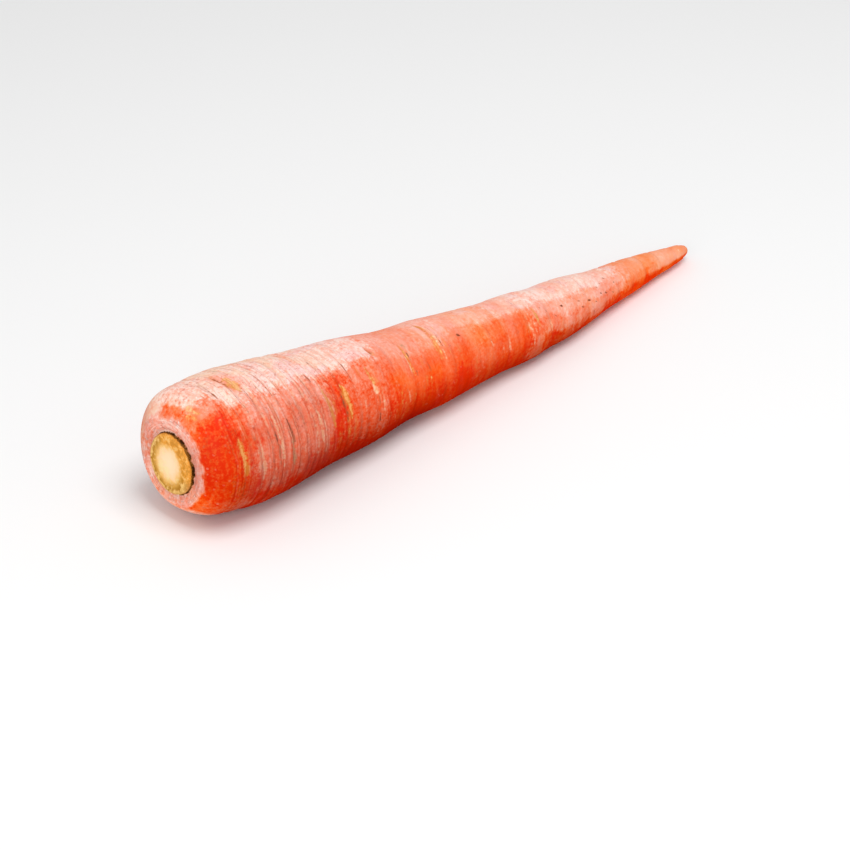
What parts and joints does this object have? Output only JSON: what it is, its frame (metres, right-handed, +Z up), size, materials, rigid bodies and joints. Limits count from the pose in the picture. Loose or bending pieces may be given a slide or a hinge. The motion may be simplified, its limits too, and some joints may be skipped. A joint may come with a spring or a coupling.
{
  "type": "carrot",
  "caption": "Long tapering red carrot with a round shoulder, a cut leaf stub in a narrow groove, faint growth rings and a blunt tip, lying on its side.",
  "frame": {"origin": "centre of the bounding box at the level of the surface the root lies on", "axes": "+X from the cut crown to the root tip, +Z up, +Y to the far side as the picture shows it"},
  "size_m": [0.247, 0.0438, 0.0433],
  "materials": {
    "root": "satin, moist root skin; wood stands for plant tissue"
  },
  "bodies": {
    "root": {"carrot": "root"}
  },
  "joints": []
}
